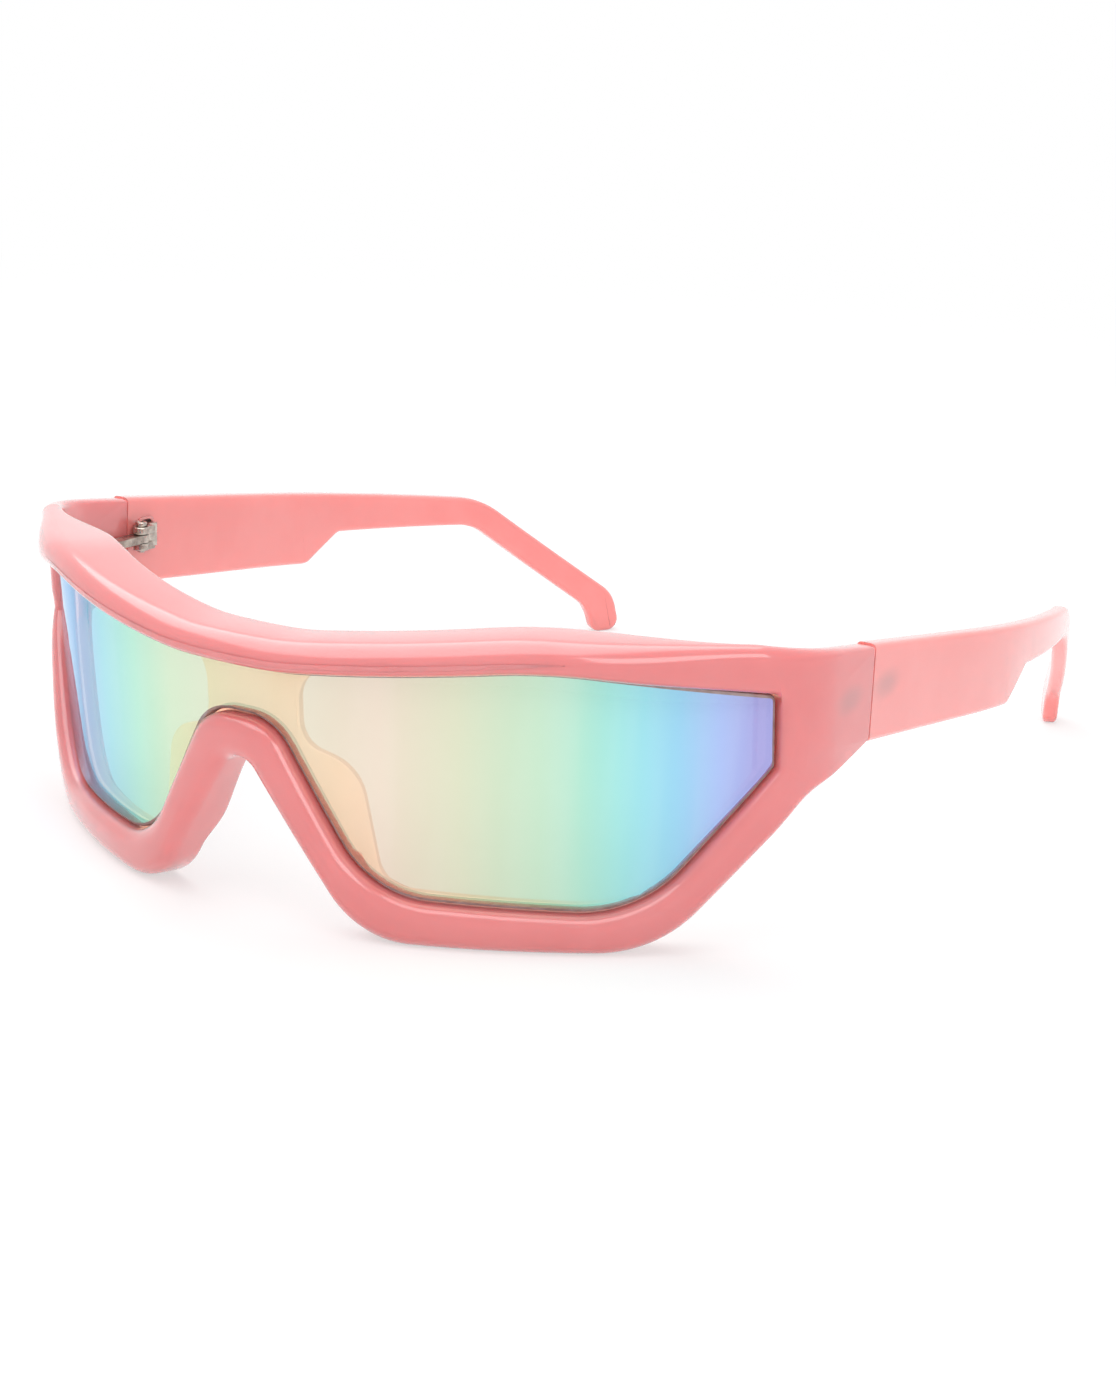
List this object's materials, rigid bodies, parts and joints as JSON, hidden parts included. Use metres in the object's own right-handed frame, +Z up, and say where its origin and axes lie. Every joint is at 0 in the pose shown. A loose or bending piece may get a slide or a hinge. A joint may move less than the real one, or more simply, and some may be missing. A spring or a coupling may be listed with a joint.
{
  "type": "wraparound sunglasses",
  "caption": "Wraparound shield sunglasses: a thick glossy one-piece front round a single mirrored lens, with folding temples on screwed metal hinges.",
  "frame": {"origin": "middle of the overall box at table height, where the rims and temple tips rest", "axes": "+X to the wearer's left, +Y from the lens back to the temple tips, +Z up"},
  "size_m": [0.14, 0.1828, 0.0464],
  "materials": {
    "pink_plastic": "translucent pink, polished",
    "mirror_lens": "polycarbonate with a multicolour mirror coating",
    "hinge_steel": "bright, lightly brushed",
    "screw_steel": "bright, turned"
  },
  "bodies": {
    "front": {"front_frame": "pink_plastic", "shield_lens": "mirror_lens", "front_hinge_left": "hinge_steel", "front_hinge_right": "hinge_steel"},
    "temple_left": {"temple_left": "pink_plastic", "temple_hinge_left": "hinge_steel", "hinge_screw_left": "screw_steel"},
    "temple_right": {"temple_right": "pink_plastic", "temple_hinge_right": "hinge_steel", "hinge_screw_right": "screw_steel"}
  },
  "joints": [
    {"name": "temple_left_fold", "type": "hinge", "parent": "front", "child": "temple_left", "pos_m": [0.0652, -0.02967, 0.0355], "axis": [0, 0, 1], "range_deg": [0, 88]},
    {"name": "temple_right_fold", "type": "hinge", "parent": "front", "child": "temple_right", "pos_m": [-0.0652, -0.02967, 0.0355], "axis": [0, 0, -1], "range_deg": [0, 78]}
  ]
}
